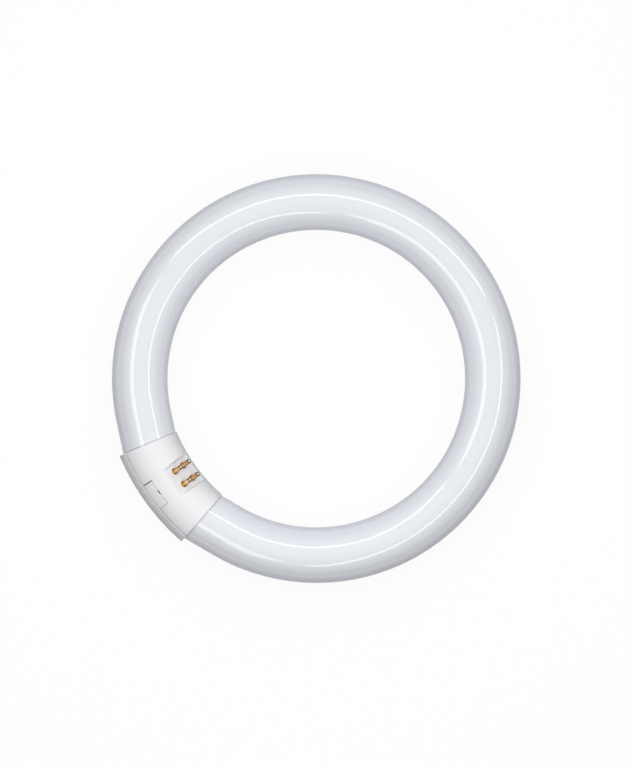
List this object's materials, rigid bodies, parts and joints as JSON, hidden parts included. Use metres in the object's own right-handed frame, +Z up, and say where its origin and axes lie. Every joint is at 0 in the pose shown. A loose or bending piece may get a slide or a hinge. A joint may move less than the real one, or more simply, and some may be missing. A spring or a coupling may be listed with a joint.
{
  "type": "circular fluorescent tube",
  "caption": "Ring-shaped fluorescent lamp: a white-coated glass tube bent to a circle, its ends held in a moulded white base with leaning contact pins.",
  "frame": {"origin": "under the middle of the overall box, on the surface that the lamp lies on", "axes": "+Z up along the ring's axis; -Y from the ring's middle towards the base; +X along the base, to the right as seen from above with the base nearest"},
  "size_m": [0.2096, 0.2128, 0.0343],
  "materials": {
    "coated_glass": "clear glossy glass over an opaque white powder coat",
    "base_plastic": "moulded white plastic, satin",
    "pin_brass": "turned brass, bright",
    "tinned_wire": "tinned wire with a solder bead"
  },
  "bodies": {
    "root": {"glass_tube": "coated_glass", "base_front": "base_plastic", "base_back": "base_plastic", "contact_pin_1": "pin_brass", "lead_wire_1": "tinned_wire", "contact_pin_2": "pin_brass", "lead_wire_2": "tinned_wire", "contact_pin_3": "pin_brass", "lead_wire_3": "tinned_wire", "contact_pin_4": "pin_brass", "lead_wire_4": "tinned_wire"}
  },
  "joints": []
}
